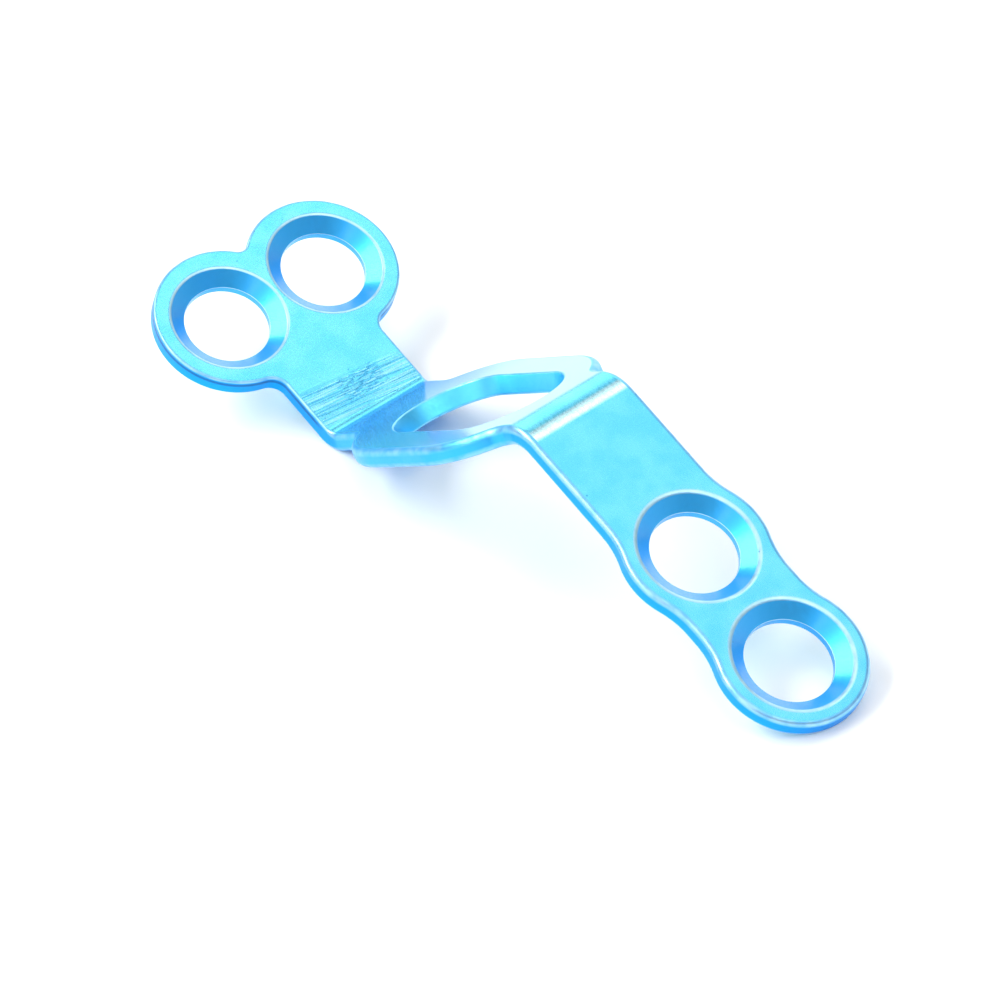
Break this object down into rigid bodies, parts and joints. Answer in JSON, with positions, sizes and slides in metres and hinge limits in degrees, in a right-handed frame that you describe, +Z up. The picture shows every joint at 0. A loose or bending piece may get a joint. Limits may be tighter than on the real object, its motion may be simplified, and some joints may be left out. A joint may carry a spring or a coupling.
{
  "type": "orthopedic bone plate",
  "caption": "Small bone plate bent into a step: a flat head tab with screw holes side by side, a slope around an oval window and a tail strip with screw holes in line.",
  "frame": {"origin": "centre of the plate's bounding box, on the surface that it lies on", "axes": "+X along the plate from the head tab to the tip of the tail, +Y across it, +Z up"},
  "size_m": [0.0306, 0.0096, 0.0063],
  "materials": {
    "anodised_titanium": "smooth satin metal, anodised a bright light blue"
  },
  "bodies": {
    "root": {"bone_plate": "anodised_titanium"}
  },
  "joints": []
}
